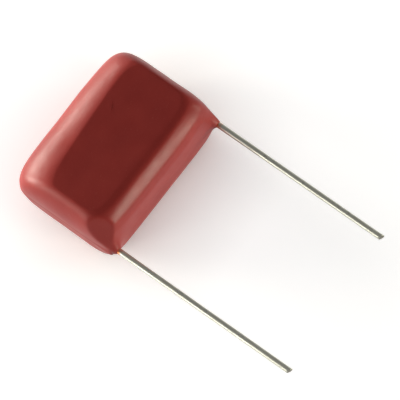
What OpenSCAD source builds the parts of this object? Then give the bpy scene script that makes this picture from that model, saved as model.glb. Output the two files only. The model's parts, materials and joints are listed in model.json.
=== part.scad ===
// Radial-lead film capacitor with a dipped epoxy coat.
//
// The part lies on one broad face. X runs along the pitch of the leads, the leads
// point to -Y, and Z is up from the face that the part rests on. The origin lies in
// that face, under the middle of the winding. All lengths are in millimetres.
//
// The part is built from the inside out: the winding sets the sprayed ends, the pitch
// sets where the leads lie on them, and the coat is laid over all of it.

/* [Leads] */
// Distance between the centres of the two leads
pitch = 20; // [18:0.1:24]
// Diameter of the round wire
lead_d = 0.8; // [0.7:0.05:1]
// Length of the left lead outside the coat
lead_left_len = 26.6; // [10:0.2:35]
// Length of the right lead outside the coat
lead_right_len = 25.4; // [10:0.2:35]
// Slant of the sheared end of the wire, in degrees
shear_angle = 24; // [0:1:40]
// Thickness of the flattened wire on the sprayed end
blade_t = 0.48; // [0.4:0.02:0.56]
// How far the flattened wire reaches across the sprayed end
blade_reach = 9.6; // [8:0.1:11]
// Length over which the round wire turns into the flattened one
flatten_len = 1.2; // [0.8:0.1:1.6]

/* [Winding] */
// Height of the pressed winding, across its two round edges
wind_h = 12.6; // [11.5:0.1:14]
// Thickness of the pressed winding, between its two flat sides
wind_t = 8.3; // [6.5:0.1:9]
// Width of the slit that is left where the winding's core was pressed flat
core_slit = 0.3; // [0.2:0.05:0.6]
// Thickness of the plain film round the winding
wrap_t = 0.25; // [0.15:0.05:0.4]
// Thickness of the sprayed metal on each end
spray_t = 0.5; // [0.3:0.05:0.8]

/* [Solder joints] */
// Radius of the sphere that a solder joint is a cap of
solder_ball_r = 1.6; // [1.4:0.05:1.8]
// Height of a solder joint above the sprayed end
solder_h = 0.72; // [0.62:0.02:0.8]
// Distance between the two solder joints on each end
solder_spacing = 4.6; // [3.4:0.1:5.4]

/* [Coat] */
// Coat over each flat side
coat_face = 1.1; // [0.7:0.05:1.5]
// Coat over the round edge away from the leads
coat_top = 1.2; // [1:0.05:1.5]
// Coat over the round edge on the lead side
coat_foot = 0.95; // [0.85:0.05:1.5]
// Coat over the flattened wire on the left end
coat_left = 1; // [0.85:0.05:1.5]
// Coat over the flattened wire on the right end
coat_right = 0.75; // [0.7:0.05:1.5]

/* [Coat shape] */
// How far the top edge rolls over at its left end, before the flat face starts
roll_top_left = 5.3; // [3.5:0.1:6]
// How far the top edge rolls over at its right end, before the flat face starts
roll_top_right = 3.9; // [3.5:0.1:6]
// How far the lead-side edge rolls over before the flat face starts
roll_foot = 1.5; // [1:0.1:2.5]
// How far the left end rolls over before the flat face starts
roll_left = 2.2; // [1.5:0.1:2.5]
// How far the right end rolls over before the flat face starts
roll_right = 2; // [1.5:0.1:2.5]
// Squareness of the body's outline: 2 is an ellipse, and more is squarer
outline_power = 6.5; // [6:0.5:12]
// Squareness of the flat faces' two corners away from the leads
face_top_power = 5; // [4:0.5:10]
// Squareness of the flat faces' two corners on the lead side
face_foot_power = 7; // [4:0.5:10]
// Squareness of the top edge's roll where it leaves the flat face
top_edge_power = 1.5; // [1.4:0.1:3]
// Squareness of the top edge's roll where it meets the middle plane
top_side_power = 2.3; // [2:0.1:3]
// Squareness of the lead-side edge's roll where it leaves the flat face
foot_edge_power = 1.7; // [1.4:0.1:3]
// Squareness of the lead-side edge's roll where it meets the middle plane
foot_side_power = 3.2; // [2.5:0.1:4]
// Squareness of the ends' roll where it leaves the flat face
end_edge_power = 1.8; // [1.6:0.1:3]
// Squareness of the ends' roll where it meets the middle plane
end_side_power = 2; // [1.9:0.1:4]
// Depth of the shallow hollow along the middle of each end
hollow_depth = 0.22; // [0:0.02:0.3]
// Half width of that hollow
hollow_w = 1.9; // [1.5:0.1:2.5]
// How far the coat is drawn out along each lead
tail_h = 1; // [0.8:0.1:2]
// Distance beside the wire in which the drawn-out coat falls to a third of its reach
tail_spread = 1.1; // [0.5:0.05:1.3]
// The same distance above and below the wire
tail_rise = 1.8; // [0.5:0.05:2]
// Thickness of the coat's rim where it ends round the wire
tail_rim = 0.08; // [0.06:0.02:0.16]

/* [Resolution] */
// Points round the coat's outline
coat_points = 120; // [80:8:160]
// Rings from the coat's middle plane to each flat face
coat_rings = 11; // [8:1:14]

/* [Hidden] */

LEFT = -1;
RIGHT = 1;
// Facets of round parts: above 12, so they stay true curves
$fn = 64;
// Thin slice that a hull starts or ends with
SLICE = 0.01;
// Extra length of a tool that cuts right through
THROUGH = 1;

// The winding with its wrap, and the sprayed ends
element_h = wind_h + 2 * wrap_t;
element_t = wind_t + 2 * wrap_t;
spray_x = (pitch - blade_t) / 2;
film_w = 2 * (spray_x - spray_t);

// Half sizes of the body's outline, and its thickness
half_left = (pitch + blade_t) / 2 + coat_left;
half_right = (pitch + blade_t) / 2 + coat_right;
half_top = element_h / 2 + coat_top;
half_foot = element_h / 2 + coat_foot;
body_t = element_t + 2 * coat_face;
mid_z = body_t / 2;

// Where the wire leaves the coat, and how wide it is once it is pressed flat
exit_y = -(half_foot + tail_h);
blade_w = PI * pow(lead_d, 2) / 4 / blade_t;
blade_end_y = blade_reach - element_h / 2;

// Where the joints lie on the flattened wire: the upper one covers its end
solder_y = [blade_end_y - 0.8, blade_end_y - 0.8 - solder_spacing];

// The coat's sleeve round the wire: its foot's radius, and how far it reaches out of the body
sleeve_r = lead_d / 2 + 0.3;
sleeve_h = 0.5;
// The part of the lead side, as a share of its half size, over which the drawing out sets in
DRAW_FROM = 0.6;
DRAW_OVER = 0.25;
// The part of each end, as a share of its half size, that the hollow along it keeps to
HOLLOW_LEN = 0.75;
HOLLOW_FROM = 0.6;
HOLLOW_OVER = 0.3;
// How strongly the outline's points gather at the corners, in degrees
CORNER_GATHER = 9;
// How strongly the rings gather at the middle plane, where the leads are
RING_GATHER = 1.7;

// ---- Shapes that repeat -----------------------------------------------------------

// A bar along X with two flat sides and two round edges, centred on X and on mid_z
module pressed_bar(h, t, w) {
    translate([-w / 2, 0, mid_z])
        rotate([90, 0, 90])
            linear_extrude(w) {
                square([h - t, t], center = true);
                for (y = [-1, 1])
                    translate([y * (h - t) / 2, 0])
                        circle(d = t);
            }
}

// Everything that the sprayed end and its solder lie against, on one side
module end_block(side, w) {
    translate([side * (spray_x - w / 2), 0, 0])
        pressed_bar(element_h, element_t, w);
}

// The lead on one side, with its free end cut on a slant
module lead(side) {
    translate([side * pitch / 2, 0, mid_z]) {
        free_wire(side == LEFT ? lead_left_len : lead_right_len);
        flattening();
        blade();
    }
}

// The flattened wire that lies on the sprayed end
module blade() {
    translate([-blade_t / 2, exit_y + flatten_len, -blade_w / 2])
        cube([blade_t, blade_end_y - exit_y - flatten_len, blade_w]);
}

// The round wire outside the coat
module free_wire(len) {
    difference() {
        translate([0, exit_y, 0])
            rotate([90, 0, 0])
                cylinder(d = lead_d, h = len);
        translate([lead_d / 2, exit_y - len, 0])
            rotate([0, 0, -shear_angle])
                translate([-2 * lead_d, -2 * lead_d, -lead_d])
                    cube([3 * lead_d, 2 * lead_d, 2 * lead_d]);
    }
}

// The stretch where the round wire is pressed into a flat blade
module flattening() {
    hull() {
        translate([0, exit_y + SLICE, 0])
            rotate([90, 0, 0])
                cylinder(d = lead_d, h = SLICE, $fn = 32);
        translate([-blade_t / 2, exit_y + flatten_len - SLICE, -blade_w / 2])
            cube([blade_t, SLICE, blade_w]);
    }
}

// The two joints that hold a lead on its sprayed end, before the lead is taken out
module solder_caps(side) {
    for (y = solder_y)
        translate([side * spray_x, y, mid_z])
            rotate([0, side * 90, 0])
                rotate_extrude($fn = 96)
                    intersection() {
                        translate([0, solder_h - solder_ball_r])
                            circle(solder_ball_r);
                        square(2 * solder_ball_r);
                    }
}

// ---- Outer form of the coat -------------------------------------------------------

// Point of an outline with half sizes of 1, at angle a
function squircle(a, power) =
    let (r = pow(pow(abs(cos(a)), power) + pow(abs(sin(a)), power), -1 / power))
    [r * cos(a), r * sin(a)];

// The outline of the body in its middle plane
function mid_outline(a) =
    let (p = squircle(a, outline_power))
    [p.x * (p.x < 0 ? half_left : half_right), p.y * (p.y < 0 ? half_foot : half_top)];

// The outline of each flat face. Its top edge runs aslant, from one end's roll to the other's
function face_outline(a) =
    let (
        p = squircle(a, sin(a) < 0 ? face_foot_power : face_top_power),
        roll_top = roll_top_left + (roll_top_right - roll_top_left) * (p.x + 1) / 2
    )
    [
        p.x * (p.x < 0 ? half_left - roll_left : half_right - roll_right),
        p.y * (p.y < 0 ? half_foot - roll_foot : half_top - roll_top)
    ];

// A roll's squareness at angle a, blended from that of the ends to that of the long edges
function blended(a, end, foot, top) =
    let (end_share = pow(cos(a), 4) / (pow(cos(a), 4) + pow(sin(a), 4)))
    end_share * end + (1 - end_share) * (sin(a) < 0 ? foot : top);

function edge_power(a) = blended(a, end_edge_power, foot_edge_power, top_edge_power);

function side_power(a) = blended(a, end_side_power, foot_side_power, top_side_power);

// Smooth step from 0 to 1 as t goes from 0 to 1
function ease(t) = let (u = max(0, min(1, t))) u * u * (3 - 2 * u);

// Point p of the plain body, drawn in by the shallow hollow along the middle of each end
function hollowed(p) =
    let (
        along = exp(-pow(p.y / (HOLLOW_LEN * half_foot), 4)),
        across = exp(-pow((p.z - mid_z) / hollow_w, 2)),
        near_end = ease((abs(p.x) / half_left - HOLLOW_FROM) / HOLLOW_OVER)
    )
    [p.x - sign(p.x) * hollow_depth * along * across * near_end, p.y, p.z];

// How far point p of the body is drawn out towards the end of a tail, from 0 to 1
function draw_share(p, side) =
    let (
        off = [p.x - side * pitch / 2, p.z - mid_z],
        rise_share = pow(off.y / max(norm(off), SLICE), 2),
        spread = tail_spread + (tail_rise - tail_spread) * rise_share
    )
    exp(-max(0, norm(off) - lead_d / 2) / spread)
        * ease((-p.y / half_foot - DRAW_FROM) / DRAW_OVER);

// Point p of the body, drawn out towards the leads
function drawn(p) =
    let (
        share = max(draw_share(p, LEFT), draw_share(p, RIGHT)),
        tip_y = exit_y + sleeve_h / 2
    )
    [p.x, p.y + share * (tip_y - p.y), p.z];

// Point of the coat at angle a round it and angle tilt up from its middle plane
function coat_point(a, tilt) =
    let (
        share = pow(cos(tilt), 2 / edge_power(a)),
        rise = pow(abs(sin(tilt)), 2 / side_power(a)) * sign(tilt),
        flat = face_outline(a),
        xy = flat + share * (mid_outline(a) - flat)
    )
    drawn(hollowed([xy.x, xy.y, mid_z + mid_z * rise]));

module coat_body() {
    // The outline starts at a corner, so that no three points of a flat face's fan line up
    angles = [for (i = [0 : coat_points - 1])
        let (a = 45 + 360 * i / coat_points) a + CORNER_GATHER * sin(4 * a)];
    tilts = [for (j = [-coat_rings : coat_rings])
        90 * sign(j) * pow(abs(j) / coat_rings, RING_GATHER)];
    last = 2 * coat_rings;
    points = [for (tilt = tilts, a = angles) coat_point(a, tilt)];
    sides = [for (j = [0 : last - 1], i = [0 : coat_points - 1])
        let (
            next = (i + 1) % coat_points,
            low = j * coat_points,
            high = low + coat_points
        )
        each [[low + i, high + i, high + next], [low + i, high + next, low + next]]];
    base = [for (i = [0 : coat_points - 1]) i];
    roof = [for (i = [coat_points - 1 : -1 : 0]) last * coat_points + i];
    polyhedron(points, concat([base, roof], sides), convexity = 4);
}

// The last of the drawn-out coat: a sleeve round the wire, hollow in outline, with a thin rim
module sleeve(side) {
    rim_r = lead_d / 2 + tail_rim;
    steps = 5;
    flare = [for (i = [0 : steps])
        let (turn = 90 * i / steps)
        [rim_r + (sleeve_r - rim_r) * (1 - cos(turn)), -sleeve_h * sin(turn)]];
    root = -2 * sleeve_h;
    translate([side * pitch / 2, exit_y, mid_z])
        rotate([90, 0, 0])
            rotate_extrude()
                polygon(concat([[0, 0]], flare, [[sleeve_r, root], [0, root]]));
}

// ---- Sub-parts --------------------------------------------------------------------

// The dipped skin. It lies face to face on everything that it covers.
module epoxy_coat() {
    color([0.56, 0.17, 0.14])
        difference() {
            union() {
                coat_body();
                for (side = [LEFT, RIGHT])
                    sleeve(side);
            }
            pressed_bar(element_h, element_t, 2 * spray_x);
            for (side = [LEFT, RIGHT]) {
                solder_caps(side);
                lead(side);
            }
        }
}

// Metallised film, wound and pressed flat, with a slit where its core was
module film_winding() {
    color([0.72, 0.73, 0.76])
        difference() {
            pressed_bar(wind_h, wind_t, film_w);
            pressed_bar(wind_h - wind_t, core_slit, film_w + 2 * THROUGH);
        }
}

// Plain film round the winding
module outer_wrap() {
    color([0.85, 0.83, 0.72])
        difference() {
            pressed_bar(element_h, element_t, film_w);
            pressed_bar(wind_h, wind_t, film_w + 2 * THROUGH);
        }
}

// Sprayed metal on one end
module end_spray(side) {
    color([0.6, 0.61, 0.62])
        end_block(side, spray_t);
}

// Solder that holds one lead on its sprayed end
module solder(side) {
    color([0.78, 0.79, 0.8])
        difference() {
            solder_caps(side);
            translate([side * pitch / 2, 0, mid_z])
                blade();
        }
}

module end_spray_left() {
    end_spray(LEFT);
}

module end_spray_right() {
    end_spray(RIGHT);
}

module solder_left() {
    solder(LEFT);
}

module solder_right() {
    solder(RIGHT);
}

module lead_left() {
    color([0.75, 0.76, 0.74])
        lead(LEFT);
}

module lead_right() {
    color([0.75, 0.76, 0.74])
        lead(RIGHT);
}

epoxy_coat();
film_winding();
outer_wrap();
end_spray_left();
end_spray_right();
solder_left();
solder_right();
lead_left();
lead_right();
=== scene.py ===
import json
import math

import bpy
import numpy as np
from mathutils import Matrix, Vector, noise


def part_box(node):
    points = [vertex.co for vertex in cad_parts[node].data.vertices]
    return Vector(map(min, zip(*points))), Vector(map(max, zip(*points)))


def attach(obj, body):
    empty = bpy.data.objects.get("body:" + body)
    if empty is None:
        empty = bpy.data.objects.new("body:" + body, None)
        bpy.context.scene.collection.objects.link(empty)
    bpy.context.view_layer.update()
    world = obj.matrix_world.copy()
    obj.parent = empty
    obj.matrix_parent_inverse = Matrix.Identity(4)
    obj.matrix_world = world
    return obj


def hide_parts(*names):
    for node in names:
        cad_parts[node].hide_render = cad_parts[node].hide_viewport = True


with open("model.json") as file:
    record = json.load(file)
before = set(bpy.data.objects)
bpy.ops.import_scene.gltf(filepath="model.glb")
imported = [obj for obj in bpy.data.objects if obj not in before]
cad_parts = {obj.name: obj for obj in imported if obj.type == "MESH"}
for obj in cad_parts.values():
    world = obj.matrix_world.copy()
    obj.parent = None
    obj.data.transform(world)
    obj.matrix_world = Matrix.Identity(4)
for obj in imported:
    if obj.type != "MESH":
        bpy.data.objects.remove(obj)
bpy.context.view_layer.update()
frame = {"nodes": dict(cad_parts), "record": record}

MM = 0.001

# ---- Places and sizes that the CAD part gives, in millimetres -----------------------

coat_low, coat_high = [np.array(corner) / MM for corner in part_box("epoxy_coat")]
mounts = {mount["name"]: mount for mount in frame["record"]["mounts"]}
SIDES = ("left", "right")
LEAD_X = {side: mounts[f"lead_{side}"]["pos_m"][0] / MM for side in SIDES}
LEAD_BOX = {side: [np.array(corner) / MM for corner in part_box(f"lead_{side}")] for side in SIDES}
WIRE_R = mounts["lead_left"]["dims"]["r_mm"]
MID_Z = mounts["lead_left"]["pos_m"][2] / MM
EXIT_Y = coat_low[1]
HALF_TOP = coat_high[1]
# The ends' half sizes are those of the CAD outline, before the hollow is taken off
HALF_LEFT = 11.24
HALF_RIGHT = 10.99

# ---- The coat's sizes, in millimetres -----------------------------------------------

# How far the coat is drawn out along each lead, and how far beside the wire it stays so
TAIL_REACH = 0.75
TAIL_RIM = 0.06
# The distance beside the wire, and above or below it, in which that falls to a third
TAIL_SPREAD = 1.1
TAIL_RISE = 1.8
HALF_FOOT = -EXIT_Y - TAIL_REACH
# The drawing out starts between these shares of the lead side's half size
TAIL_START = (0.6, 0.85)

# How far each edge of the coat rolls over before the flat face starts
ROLL_LEFT = 2.2
ROLL_RIGHT = 1.6
ROLL_FOOT = 2.5
ROLL_TOP_LEFT = 5.3
ROLL_TOP_RIGHT = 3.9

# Squareness of the outline and of the flat faces: 2 is an ellipse, and more is squarer
OUTLINE_POWER = 6.5
FACE_TOP_POWER = 5
FACE_FOOT_POWER = 7
# Squareness of each roll, where it leaves the flat face and where it meets the middle plane
EDGE_POWER = {"end": 1.7, "top": 1.3, "foot": 1.3}
SIDE_POWER = {"end": 2.1, "top": 2.6, "foot": 6.0}
# How sharply the form of the ends gives way to that of the long edges
END_SHARE_POWER = 4

# The lead side's roll, from the flat face's edge down to the flat wall: how far out and how far
# down each of its corners lies, and how softly they are rounded
BEVEL = np.array([(0, 0), (0.9, 0.2), (1.55, 0.85), (2.2, 1.7), (ROLL_FOOT, 3.1)])
BEVEL_ROUND = 0.35
BEVEL_STEP = 0.02
# How gradually it gives way to the rolls of the ends
BEVEL_SHARE_POWER = 1.5

# The shallow hollow along the middle of each end: its depth, its half width, its half length as
# a share of the lead side's half size, and the shares of the end's half size where it starts
HOLLOW_DEPTH = 0.22
HOLLOW_WIDTH = 1.9
HOLLOW_LENGTH = 0.75
HOLLOW_START = (0.6, 0.9)

# Mesh of the coat: points round it, rings from the middle plane to each flat face, and rings on
# each flat face; how far points gather at the corners, in degrees, and rings at the middle plane
COAT_POINTS = 480
COAT_RINGS = 56
FACE_RINGS = 14
CORNER_GATHER = 9
RING_GATHER = 1.3

# The slanting facet above the left lead, in the corner of the body: a point in it, its normal,
# and how softly its edges are rounded
FACET_POINT = np.array([-8.7, -5.5, 11.0])
FACET_NORMAL = np.array([-0.66, -0.53, 0.53])
FACET_NORMAL /= np.linalg.norm(FACET_NORMAL)
FACET_ROUND = 0.07

# The blunt drip beside the left lead's exit: its place, how far -Y it reaches, its half width,
# that as a share of its half height, and how far -Y the surface lies that it is drawn from
DRIP_X = -10.66
DRIP_Z = 5.2
DRIP_REACH = -7.95
DRIP_HALF_WIDTH = 0.42
DRIP_SHARE = 0.6
DRIP_FROM = -5

# The waves in the coat: height, size and seed of each kind
WAVES = [(0.055, 4.2, 3), (0.018, 1.5, 6)]
# The waves start between these distances from the exits' plane
WAVE_START = (0.4, 2.4)
# On the flat faces, which start between these distances from the middle plane, they are fainter
FACE_START = (4.9, 5.4)
FACE_CALM = 0.75
# The faint ridge along the middle plane: its height and its half width
RIDGE_HEIGHT = 0.05
RIDGE_WIDTH = 0.3

# The crease under the right lead's tail, which runs out along the lead side: points on it, its
# depth and half width, and between which places along X it starts
CREASE = np.array([
    (10.1, -8.5, 5.0), (9.3, -8.05, 4.85), (8.5, -7.65, 4.8), (7.4, -7.5, 4.75), (6.4, -7.5, 4.8)
])
CREASE_DEPTH = 0.11
CREASE_WIDTH = 0.2
CREASE_START = (6.4, 7.9)

# Small pimples in the epoxy: x, y, z and radius of each, and the height of all
PIMPLES = [(3.1, 2.1, 11, 0.16), (-9.9, 1.2, 9.6, 0.14), (6.6, 5.2, 9.6, 0.12), (-4.2, 6.6, 8.3, 0.13)]
PIMPLE_HEIGHT = 0.06

# ---- The leads' sizes, in millimetres and degrees -----------------------------------

# The flattened end: how long the change from round to flat is, the blade's thickness, and the
# squareness of its outline
FLATTEN = 1.2
BLADE_T = 0.48
BLADE_POWER = 8
# The sheared tip: its slant, the length it takes up, and its rings, each with how far it lies
# behind the cut and its share of the wire's size
SHEAR_ANGLE = 24
TIP_LENGTH = 0.5
TIP_RINGS = ((0, 0.5), (0, 0.93), (0.03, 1))
# Mesh of the wire: points round it, and the distance between its rings
WIRE_POINTS = 48
WIRE_STEP = 0.3
# How far from the exit the thin film of epoxy on the wire ends, and how far it is whole
FILM_END = 0.6
FILM_WHOLE = 0.1


# ---- Small helpers ------------------------------------------------------------------

def ease(value, start, end):
    """Smooth step from 0 to 1 as the value goes from start to end."""
    t = np.clip((value - start) / (end - start), 0, 1)
    return t * t * (3 - 2 * t)


def add_piece(name, points, faces, material, slot, nodes):
    """A smooth mesh, given in millimetres, that stands for CAD nodes and rides on the part."""
    mesh = bpy.data.meshes.new(name)
    mesh.from_pydata([tuple(p) for p in np.asarray(points) * MM], [], faces)
    mesh.validate()
    mesh.polygons.foreach_set("use_smooth", [True] * len(mesh.polygons))
    mesh.materials.append(material)
    piece = bpy.data.objects.new(name, mesh)
    bpy.context.scene.collection.objects.link(piece)
    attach(piece, "root")
    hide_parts(*nodes)


def loft(rings):
    """Points and faces of a closed tube through the rings, with a fan at each end."""
    count = len(rings[0])
    last = (len(rings) - 1) * count
    points = np.concatenate([*rings, [rings[0].mean(axis=0)], [rings[-1].mean(axis=0)]])
    start, end = len(points) - 2, len(points) - 1
    faces = []
    for j in range(0, last, count):
        for i in range(count):
            a, b = j + i, j + (i + 1) % count
            faces.append((a, b, b + count, a + count))
    for i in range(count):
        after = (i + 1) % count
        faces.append((start, after, i))
        faces.append((end, last + i, last + after))
    return points, faces


def noise_at(points, size, seed):
    """Smooth noise of about -1 to 1 at points in millimetres, with features of about that size."""
    shift = Vector((seed * 17.3, seed * 5.1, seed * 9.7))
    return np.array([noise.noise(Vector(p) / size + shift) for p in points])


def hump(distance, half_width, power=2):
    """1 at no distance, falling smoothly to a third at the half width and then to 0."""
    return np.exp(-(distance / half_width) ** power)


def line_distance(points, path):
    """Distance of each point to the nearest part of a path."""
    nearest = np.full(len(points), np.inf)
    for start, end in zip(path[:-1], path[1:]):
        step = end - start
        share = np.clip((points - start) @ step / (step @ step), 0, 1)
        nearest = np.minimum(nearest, np.linalg.norm(points - start - share[:, None] * step, axis=1))
    return nearest


def squircle(angles, foot_power, top_power):
    """An outline with half sizes of 1, and a squareness of its own below and above."""
    c, s = np.cos(angles), np.sin(angles)
    power = np.where(s < 0, foot_power, top_power)
    r = (np.abs(c) ** power + np.abs(s) ** power) ** (-1 / power)
    return r * c, r * s


# ---- The coat's form ----------------------------------------------------------------

def end_share(angles):
    """How much of the coat's form at each angle is that of the ends, from 0 to 1."""
    c, s = np.cos(angles) ** END_SHARE_POWER, np.sin(angles) ** END_SHARE_POWER
    return c / (c + s)


def by_edge(angles, values):
    """A value at each angle round the coat, blended from the ends to the long edges."""
    share = end_share(angles)
    edge = np.where(np.sin(angles) < 0, values["foot"], values["top"])
    return share * values["end"] + (1 - share) * edge


def mid_outline(angles):
    """The body's outline in the middle plane."""
    x, y = squircle(angles, OUTLINE_POWER, OUTLINE_POWER)
    half_x = np.where(x < 0, HALF_LEFT, HALF_RIGHT)
    half_y = np.where(y < 0, HALF_FOOT, HALF_TOP)
    return np.column_stack([x * half_x, y * half_y])


def face_outline(angles):
    """The outline of each flat face."""
    x, y = squircle(angles, FACE_FOOT_POWER, FACE_TOP_POWER)
    roll_top = ROLL_TOP_LEFT + (ROLL_TOP_RIGHT - ROLL_TOP_LEFT) * (x + 1) / 2
    half_x = np.where(x < 0, HALF_LEFT - ROLL_LEFT, HALF_RIGHT - ROLL_RIGHT)
    half_y = np.where(y < 0, HALF_FOOT - ROLL_FOOT, HALF_TOP - roll_top)
    return np.column_stack([x * half_x, y * half_y])


def bevel_profile():
    """The lead side's roll, from the middle plane to the flat face: how far out and how high."""
    # The line runs on past both of its ends, so that the rounding has something to work on
    past = 1.0
    corners = np.array([(ROLL_FOOT, MID_Z + past), *BEVEL[::-1], (-past, 0)])
    along = np.concatenate([[0], np.cumsum(np.hypot(*np.diff(corners, axis=0).T))])
    fine = np.arange(0, along[-1], BEVEL_STEP)
    # Beyond this reach the rounding's weights are next to nothing
    reach = round(2.5 * BEVEL_ROUND / BEVEL_STEP)
    weights = hump(np.arange(-reach, reach + 1) * BEVEL_STEP, BEVEL_ROUND)
    weights /= weights.sum()
    out, drop = [
        np.convolve(np.pad(np.interp(fine, along, corner), reach, "edge"), weights, "valid")
        for corner in corners.T
    ]
    stations = np.linspace(past, along[-1] - past + BEVEL_ROUND, COAT_RINGS + 1)
    return np.interp(stations, fine, out) / ROLL_FOOT, 1 - np.interp(stations, fine, drop) / MID_Z


def hollowed(points):
    """The plain body's points, with the shallow hollow along the middle of each end."""
    x, y, z = points.T
    along = hump(y, HOLLOW_LENGTH * HALF_FOOT, power=4)
    across = hump(z - MID_Z, HOLLOW_WIDTH)
    near_end = ease(np.abs(x) / HALF_LEFT, *HOLLOW_START)
    return np.column_stack([x - np.sign(x) * HOLLOW_DEPTH * along * across * near_end, y, z])


def drawn_out(points):
    """The body's points, drawn out along the two leads."""
    x, y, z = points.T
    share = np.zeros(len(points))
    for lead_x in LEAD_X.values():
        away = np.hypot(x - lead_x, z - MID_Z)
        upright = ((z - MID_Z) / np.maximum(away, 0.01)) ** 2
        spread = TAIL_SPREAD + (TAIL_RISE - TAIL_SPREAD) * upright
        near = np.exp(-np.maximum(away - WIRE_R - TAIL_RIM, 0) / spread)
        share = np.maximum(share, near * ease(-y / HALF_FOOT, *TAIL_START))
    return np.column_stack([x, y + share * (EXIT_Y - y), z])


def faceted(points):
    """The points, with what stands out beyond the facet's plane pressed back onto it."""
    beyond = (points - FACET_POINT) @ FACET_NORMAL
    press = np.logaddexp(0, beyond / FACET_ROUND) * FACET_ROUND
    return points - press[:, None] * FACET_NORMAL


def dripped(points):
    """The points, with the small drip drawn down beside the left lead's exit."""
    x, y, z = points.T
    away = np.hypot(x - DRIP_X, (z - DRIP_Z) * DRIP_SHARE)
    share = hump(away, DRIP_HALF_WIDTH, power=4) * (y < DRIP_FROM)
    return np.column_stack([x, np.where(y > DRIP_REACH, y + share * (DRIP_REACH - y), y), z])


def surface_detail(points):
    """How far the real coat stands out from the plain one at each point, in millimetres."""
    x, y, z = points.T
    from_exits, from_middle = y - EXIT_Y, z - MID_Z
    calm = ease(from_exits, *WAVE_START)
    face = ease(np.abs(from_middle), *FACE_START)
    waves = sum(height * noise_at(points, size, seed) for height, size, seed in WAVES)
    detail = waves * calm * (1 - FACE_CALM * face)
    detail += RIDGE_HEIGHT * hump(from_middle, RIDGE_WIDTH) * calm
    detail -= CREASE_DEPTH * ease(x, *CREASE_START) * hump(line_distance(points, CREASE), CREASE_WIDTH)
    for *place, radius in PIMPLES:
        detail += PIMPLE_HEIGHT * hump(np.linalg.norm(points - place, axis=1), radius)
    return detail


def with_detail(rings):
    """The rings, moved along the surface's normals by the fine detail, but not below the floor."""
    grid = np.array(rings)
    round_it = np.roll(grid, -1, axis=1) - np.roll(grid, 1, axis=1)
    up = np.gradient(grid, axis=0)
    normal = np.cross(round_it, up)
    normal /= np.maximum(np.linalg.norm(normal, axis=2, keepdims=True), 1e-9)
    detail = surface_detail(grid.reshape(-1, 3)).reshape(grid.shape[:2])
    grid += normal * detail[..., None]
    grid[..., 2] = np.maximum(grid[..., 2], 0)
    return list(grid)


def coat_rings():
    """Rings of the coat, from the middle of the lower flat face to that of the upper one."""
    # The outline starts at a corner
    turn = np.radians(45 + 360 * np.arange(COAT_POINTS) / COAT_POINTS)
    angles = turn + math.radians(CORNER_GATHER) * np.sin(4 * turn)
    mid, flat = mid_outline(angles), face_outline(angles)
    edge_power, side_power = by_edge(angles, EDGE_POWER), by_edge(angles, SIDE_POWER)
    bevel_out, bevel_rise = bevel_profile()
    bevelled = np.where(np.sin(angles) < 0, (1 - end_share(angles)) ** BEVEL_SHARE_POWER, 0)
    rings = []
    for j in range(-COAT_RINGS, COAT_RINGS + 1):
        tilt = math.pi / 2 * (abs(j) / COAT_RINGS) ** RING_GATHER
        share = max(math.cos(tilt), 0) ** (2 / edge_power)
        rise = math.sin(tilt) ** (2 / side_power)
        share += bevelled * (bevel_out[abs(j)] - share)
        rise += bevelled * (bevel_rise[abs(j)] - rise)
        xy = flat + share[:, None] * (mid - flat)
        rings.append(np.column_stack([xy, MID_Z + MID_Z * rise * np.sign(j)]))
    shrink = [1 - k / FACE_RINGS for k in range(1, FACE_RINGS)]
    low = [np.column_stack([flat * s, np.zeros(COAT_POINTS)]) for s in reversed(shrink)]
    high = [np.column_stack([flat * s, np.full(COAT_POINTS, 2 * MID_Z)]) for s in shrink]
    body = [dripped(faceted(drawn_out(hollowed(ring)))) for ring in low + rings + high]
    return with_detail(body)


# ---- The leads' form ----------------------------------------------------------------

def lead_rings(side):
    """Rings of one lead, from its sheared tip to the end of its flattened blade."""
    low, high = LEAD_BOX[side]
    blade_half = (high[2] - low[2]) / 2
    tip_y, end_y = low[1], high[1]
    turn = -2 * math.pi * np.arange(WIRE_POINTS) / WIRE_POINTS
    circle = WIRE_R * np.column_stack([np.cos(turn), np.sin(turn)])
    slant = math.tan(math.radians(SHEAR_ANGLE))
    rings = []
    for inset, shrink in TIP_RINGS:
        x, z = (circle * shrink).T
        rings.append(np.column_stack([x, tip_y + inset + (WIRE_R - x) * slant, z]))
    for y in [*np.arange(tip_y + TIP_LENGTH, end_y, WIRE_STEP), end_y]:
        share = float(ease(y, EXIT_Y, EXIT_Y + FLATTEN))
        power = 2 + (BLADE_POWER - 2) * share
        half_x = WIRE_R + share * (BLADE_T / 2 - WIRE_R)
        half_z = WIRE_R + share * (blade_half - WIRE_R)
        x, z = squircle(turn, power, power)
        rings.append(np.column_stack([x * half_x, np.full(WIRE_POINTS, y), z * half_z]))
    return [ring + np.array([LEAD_X[side], 0, MID_Z]) for ring in rings]


# ---- Materials ----------------------------------------------------------------------

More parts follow.
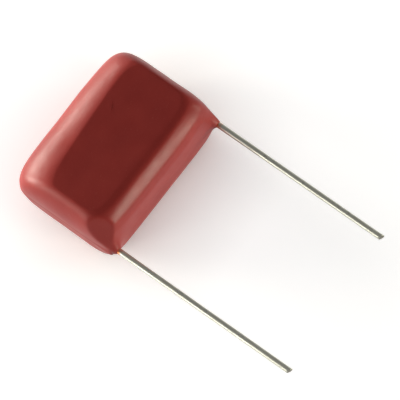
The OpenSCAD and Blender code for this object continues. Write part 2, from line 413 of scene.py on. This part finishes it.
class Maker:
    """Adds nodes to a new material, or to the world."""

    def __init__(self, owner):
        self.owner = owner
        owner.use_nodes = True
        self.tree = owner.node_tree
        self.tree.nodes.clear()
        self.places = self.node("ShaderNodeTexCoord").outputs

    def node(self, kind, **values):
        made = self.tree.nodes.new(kind)
        for key, value in values.items():
            setattr(made, key, value)
        return made

    def feed(self, socket, value):
        """Links the socket to another one, or gives it a plain value."""
        if isinstance(value, bpy.types.NodeSocket):
            self.tree.links.new(value, socket)
        else:
            socket.default_value = value

    def noise(self, size, detail=3, roughness=0.5, stretch=(1, 1, 1), seed=0):
        """Noise with features of about that size in millimetres, drawn out by stretch."""
        mapping = self.node("ShaderNodeMapping")
        self.feed(mapping.inputs["Location"], (seed, seed * 0.7, seed * 1.3))
        self.feed(mapping.inputs["Scale"], [1 / (size * MM * s) for s in stretch])
        self.feed(mapping.inputs["Vector"], self.places["Object"])
        texture = self.node("ShaderNodeTexNoise")
        self.feed(texture.inputs["Scale"], 1)
        self.feed(texture.inputs["Detail"], detail)
        self.feed(texture.inputs["Roughness"], roughness)
        self.feed(texture.inputs["Vector"], mapping.outputs[0])
        return texture.outputs["Fac"]

    def ramp(self, source, stops):
        """A colour for the source's value, blended between the stops' places and colours."""
        ramp = self.node("ShaderNodeValToRGB")
        elements = ramp.color_ramp.elements
        while len(elements) < len(stops):
            elements.new(0.5)
        for element, (place, colour) in zip(elements, stops):
            element.position = place
            element.color = (*colour, 1)
        self.feed(ramp.inputs[0], source)
        return ramp.outputs[0]

    def span(self, source, low, high, from_low=0.3, from_high=0.7):
        """The source's range, moved to low..high."""
        span = self.node("ShaderNodeMapRange")
        self.feed(span.inputs["From Min"], from_low)
        self.feed(span.inputs["From Max"], from_high)
        self.feed(span.inputs["To Min"], low)
        self.feed(span.inputs["To Max"], high)
        self.feed(span.inputs["Value"], source)
        return span.outputs["Result"]

    def blend(self, first, second, factor):
        """The first colour, turned towards the second by factor."""
        mix = self.node("ShaderNodeMix", data_type="RGBA")
        self.feed(mix.inputs["Factor"], factor)
        self.feed(mix.inputs[6], first)
        self.feed(mix.inputs[7], (*second, 1))
        return mix.outputs[2]

    def combined(self, operation, first, second):
        """Two numbers, put through one operation."""
        sums = self.node("ShaderNodeMath", operation=operation)
        self.feed(sums.inputs[0], first)
        self.feed(sums.inputs[1], second)
        return sums.outputs[0]

    def part(self, vector, axis):
        """The X, Y or Z of a vector."""
        split = self.node("ShaderNodeSeparateXYZ")
        self.feed(split.inputs[0], vector)
        return split.outputs[axis]

    def facing_foot(self):
        """1 where the surface faces -Y, as the leads' cut ends do, and 0 on their sides."""
        normal = self.node("ShaderNodeNewGeometry").outputs["Normal"]
        return self.span(self.part(normal, "Y"), 0, 1, -0.5, -0.8)

    def seen_directly(self):
        """1 for what the camera sees, itself or in metal and glass, and 0 for light that is cast."""
        rays = self.node("ShaderNodeLightPath").outputs
        seen = self.combined("MAXIMUM", rays["Is Camera Ray"], rays["Is Glossy Ray"])
        return self.combined("MAXIMUM", seen, rays["Is Transmission Ray"])

    def bump(self, source, height, before=None):
        """A bump of that height in millimetres, added to the one before."""
        bump = self.node("ShaderNodeBump")
        self.feed(bump.inputs["Strength"], 1)
        self.feed(bump.inputs["Distance"], height * MM)
        self.feed(bump.inputs["Height"], source)
        if before is not None:
            self.feed(bump.inputs["Normal"], before)
        return bump.outputs[0]

    def surface(self, shader):
        """Puts the shader to use, and gives back the material or the world."""
        kind = "World" if isinstance(self.owner, bpy.types.World) else "Material"
        self.feed(self.node(f"ShaderNodeOutput{kind}").inputs["Surface"], shader.outputs[0])
        return self.owner

    def principled(self, colour, roughness, normal, **values):
        shader = self.node("ShaderNodeBsdfPrincipled")
        self.feed(shader.inputs["Base Color"], colour)
        self.feed(shader.inputs["Roughness"], roughness)
        self.feed(shader.inputs["Normal"], normal)
        for key, value in values.items():
            self.feed(shader.inputs[key.replace("_", " ")], value)
        return self.surface(shader)


def new_material(name):
    return Maker(bpy.data.materials.new(name))


def epoxy_material():
    """The dipped coat: mottled red-brown with fine light specks, and a faint orange peel."""
    maker = new_material("dipped_epoxy")
    dark, plain, light = (0.262, 0.023, 0.02), (0.285, 0.026, 0.022), (0.315, 0.031, 0.026)
    colour = maker.ramp(maker.noise(5, detail=4, seed=3), [(0.3, dark), (0.5, plain), (0.72, light)])
    specks = maker.span(maker.noise(0.22, detail=4, roughness=0.65, seed=11), 0, 0.4, 0.6, 0.78)
    colour = maker.blend(colour, (0.42, 0.1, 0.085), specks)
    roughness = maker.span(maker.noise(2.5, seed=8), 0.38, 0.45)
    peel = maker.bump(maker.noise(0.9, detail=2, seed=1), 0.012)
    grain = maker.bump(maker.noise(0.16, detail=2, seed=5), 0.003, peel)
    return maker.principled(colour, roughness, grain, Specular_IOR_Level=0.28)


def tin_material():
    """Drawn and tinned wire, with a thin film of epoxy crept onto it where it leaves the coat."""
    maker = new_material("tinned_wire")
    drawn = maker.noise(0.07, detail=3, stretch=(1, 50, 1))
    dull = maker.noise(1.1, detail=4, stretch=(1, 2.5, 1), seed=9)
    colour = maker.ramp(drawn, [(0.3, (0.56, 0.56, 0.49)), (0.7, (0.7, 0.7, 0.63))])
    colour = maker.blend(colour, (0.4, 0.39, 0.32), maker.span(dull, 0, 0.5, 0.5, 0.75))
    along = maker.part(maker.places["Object"], "Y")
    film = maker.span(along, 0, 1, (EXIT_Y - FILM_END) * MM, (EXIT_Y - FILM_WHOLE) * MM)
    ragged = maker.span(maker.noise(0.5, detail=2, seed=13), 0.2, 1, 0.35, 0.6)
    colour = maker.blend(colour, (0.62, 0.2, 0.07), maker.combined("MULTIPLY", film, ragged))
    colour = maker.blend(colour, (0.16, 0.15, 0.11), maker.facing_foot())
    streaks = maker.bump(drawn, 0.0015)
    ripples = maker.bump(maker.noise(1.2, stretch=(1, 2.5, 1), seed=4), 0.008, streaks)
    return maker.principled(colour, maker.span(dull, 0.24, 0.36), ripples, Metallic=0.85)


def film_material():
    """The metallised film: satin, with the fine lines of its many turns."""
    maker = new_material("metallised_film")
    turns = maker.noise(0.04, detail=3, stretch=(80, 1, 1))
    bands = maker.noise(1.5, detail=2, stretch=(6, 1, 1), seed=2)
    colour = maker.ramp(bands, [(0.3, (0.37, 0.38, 0.4)), (0.7, (0.48, 0.49, 0.51))])
    colour = maker.blend(colour, (0.3, 0.31, 0.34), maker.span(turns, 0.4, 0, 0.35, 0.6))
    lines = maker.bump(turns, 0.004)
    return maker.principled(colour, maker.span(bands, 0.32, 0.48), lines, Metallic=0.6)


def wrap_material():
    """The plain film round the winding: glossy and straw-tinted, with faint puckers."""
    maker = new_material("wrap_film")
    puckers = maker.noise(2.2, detail=3, stretch=(0.4, 1.6, 1), seed=4)
    colour = maker.ramp(puckers, [(0.3, (0.6, 0.56, 0.38)), (0.7, (0.72, 0.68, 0.52))])
    scuffs = maker.noise(0.3, detail=4, stretch=(3, 1, 1), seed=6)
    folds = maker.bump(puckers, 0.03)
    return maker.principled(colour, maker.span(scuffs, 0.14, 0.3), folds, Coat_Weight=0.3)


def spray_material():
    """The sprayed zinc on each end: grainy and dull."""
    maker = new_material("sprayed_metal")
    grains = maker.noise(0.14, detail=5, roughness=0.65)
    clumps = maker.noise(0.9, detail=2, seed=3)
    colour = maker.ramp(grains, [(0.3, (0.3, 0.3, 0.31)), (0.7, (0.52, 0.52, 0.53))])
    bumps = maker.bump(grains, 0.05, maker.bump(clumps, 0.05))
    return maker.principled(colour, maker.span(grains, 0.72, 0.5), bumps, Metallic=0.9)


def solder_material():
    """Bright solder, with a frosted grain in places."""
    maker = new_material("solder")
    frost = maker.noise(0.6, detail=3, seed=5)
    grain = maker.noise(0.08, detail=3, seed=7)
    colour = maker.ramp(frost, [(0.35, (0.66, 0.66, 0.67)), (0.7, (0.52, 0.52, 0.54))])
    bumps = maker.bump(grain, 0.003, maker.bump(frost, 0.02))
    return maker.principled(colour, maker.span(frost, 0.14, 0.4), bumps, Metallic=1)


# ---- The part -----------------------------------------------------------------------

# Pieces that the coat hides are the CAD part's own, with materials of their own
inner = {"film_winding": film_material(), "outer_wrap": wrap_material()}
spray, solder = spray_material(), solder_material()
for side in SIDES:
    inner[f"end_spray_{side}"] = spray
    inner[f"solder_{side}"] = solder
for node_name, material in inner.items():
    for material_slot in frame["nodes"][node_name].material_slots:
        material_slot.material = material

add_piece("epoxy_skin", *loft(coat_rings()), epoxy_material(), "epoxy_coat", ["epoxy_coat"])
tin = tin_material()
for side in SIDES:
    add_piece(f"wire_{side}", *loft(lead_rings(side)), tin, "tinned_wire", [f"lead_{side}"])


# ---- Camera, floor and lights, in metres, degrees and watts -------------------------

MIDDLE = Vector((0, 0, MID_Z)) * MM

# Where the camera stands, as seen from the middle of the body
CAMERA_AZIMUTH = -32.2
CAMERA_ELEVATION = 69.85
CAMERA_ROLL = -21.25
CAMERA_DISTANCE = 0.9
# The sensor's width, in millimetres
CAMERA_SENSOR = 36
# Width of the view at the body, and how far the body's middle lies from the view's middle
VIEW_WIDTH = 49.05 * MM
VIEW_AIM = Vector((10.47, -6.14)) * MM

# Strength of the surroundings: as light that is cast, and as seen by the camera and in metal
WORLD_CAST = 0.06
WORLD_SEEN = 0.25
# Sines of the elevations between which what is seen goes from white to that
HORIZON = (0.03, 0.06)

FLOOR_SIZE = 6
FLOOR_COLOUR = (0.85, 0.85, 0.85, 1)
# The floor's own glow near the part, and the distances between which it rises to white
FLOOR_GLOW = 0.69
FAR_FLOOR = (0.2, 0.6)
# Colour of the glow, and the distance from the part's foot over which ambient occlusion darkens it: a
# painted contact shadow on the floor, also seen in the coat's reflections
GLOW_COLOUR = (1, 1, 1.03, 1)
PAINTED_SHADE_REACH = 12 * MM

LAMP_DISTANCE = 0.5
WARM = (1, 0.97, 0.86)
WARMER = (1, 0.96, 0.8)
# Azimuth, elevation, size, power and colour of each soft lamp
LAMPS = {
    "back_light": (180, 4, 0.22, 3.5, WARM),
    "key_light": (-150, 4, 0.22, 4.0, WARM),
    "side_light": (-118, 4.2, 0.22, 1.0, WARM),
    "high_light": (-108, 27, 0.16, 0.25, WARM),
    "front_light": (10, 8, 0.16, 1.7, WARMER),
    "fill_light": (48, 6, 0.2, 0.9, WARMER),
}


def direction(azimuth, elevation):
    """Which way a place lies from the part: azimuth 0 is towards -Y, and 90 towards +X."""
    a, e = math.radians(azimuth), math.radians(elevation)
    return Vector((math.cos(e) * math.sin(a), -math.cos(e) * math.cos(a), math.sin(e)))


def add_camera():
    back = direction(CAMERA_AZIMUTH, CAMERA_ELEVATION)
    right = (-back).cross(Vector((0, 0, 1))).normalized()
    up = right.cross(-back)
    c, s = math.cos(math.radians(CAMERA_ROLL)), math.sin(math.radians(CAMERA_ROLL))
    right, up = c * right + s * up, c * up - s * right
    aim = MIDDLE + right * VIEW_AIM.x + up * VIEW_AIM.y
    turn = Matrix((right, up, back)).transposed()
    data = bpy.data.cameras.new("camera")
    data.sensor_width = CAMERA_SENSOR
    data.lens = CAMERA_SENSOR * CAMERA_DISTANCE / VIEW_WIDTH
    data.clip_start, data.clip_end = 0.01, 20
    camera = bpy.data.objects.new("camera", data)
    bpy.context.scene.collection.objects.link(camera)
    camera.matrix_world = Matrix.Translation(aim + back * CAMERA_DISTANCE) @ turn.to_4x4()
    bpy.context.scene.camera = camera


def add_world():
    maker = Maker(bpy.data.worlds.new("studio"))
    seen = maker.span(maker.part(maker.places["Generated"], "Z"), 1, WORLD_SEEN, *HORIZON)
    background = maker.node("ShaderNodeBackground")
    maker.feed(background.inputs["Color"], (1, 1, 1, 1))
    maker.feed(background.inputs["Strength"], maker.span(maker.seen_directly(), WORLD_CAST, seen, 0, 1))
    bpy.context.scene.world = maker.surface(background)


def add_floor():
    maker = new_material("pale_floor")
    matte = maker.node("ShaderNodeBsdfDiffuse")
    maker.feed(matte.inputs["Color"], FLOOR_COLOUR)
    away = maker.node("ShaderNodeVectorMath", operation="LENGTH")
    maker.feed(away.inputs[0], maker.places["Object"])
    # The glow is multiplied by ambient occlusion, so it darkens near the part's foot: painted contact
    # shadow, seen by the camera and in reflections
    painted_contact_shade = maker.node("ShaderNodeAmbientOcclusion", samples=8)
    maker.feed(painted_contact_shade.inputs["Color"], GLOW_COLOUR)
    maker.feed(painted_contact_shade.inputs["Distance"], PAINTED_SHADE_REACH)
    glow = maker.node("ShaderNodeEmission")
    maker.feed(glow.inputs["Color"], painted_contact_shade.outputs["Color"])
    maker.feed(glow.inputs["Strength"], maker.span(away.outputs["Value"], FLOOR_GLOW, 1, *FAR_FLOOR))
    both = maker.node("ShaderNodeAddShader")
    maker.feed(both.inputs[0], matte.outputs[0])
    maker.feed(both.inputs[1], glow.outputs[0])
    mix = maker.node("ShaderNodeMixShader")
    maker.feed(mix.inputs[0], maker.seen_directly())
    maker.feed(mix.inputs[1], matte.outputs[0])
    maker.feed(mix.inputs[2], both.outputs[0])
    bpy.ops.mesh.primitive_plane_add(size=FLOOR_SIZE, location=(0, 0, 0))
    floor = bpy.context.object
    floor.name = "floor"
    floor.data.materials.append(maker.surface(mix))


def add_softbox(name, azimuth, elevation, size, power, colour):
    """A soft round lamp that faces the part, and that the camera doesn't see."""
    back = direction(azimuth, elevation)
    data = bpy.data.lights.new(name, "AREA")
    data.shape = "DISK"
    data.size = size
    data.energy = power
    data.color = colour
    lamp = bpy.data.objects.new(name, data)
    bpy.context.scene.collection.objects.link(lamp)
    lamp.location = MIDDLE + back * LAMP_DISTANCE
    lamp.rotation_mode = "QUATERNION"
    lamp.rotation_quaternion = back.to_track_quat("Z", "Y")
    lamp.visible_camera = False


bpy.context.scene.view_settings.view_transform = "Standard"
add_world()
add_camera()
add_floor()
for lamp_name, values in LAMPS.items():
    add_softbox(lamp_name, *values)
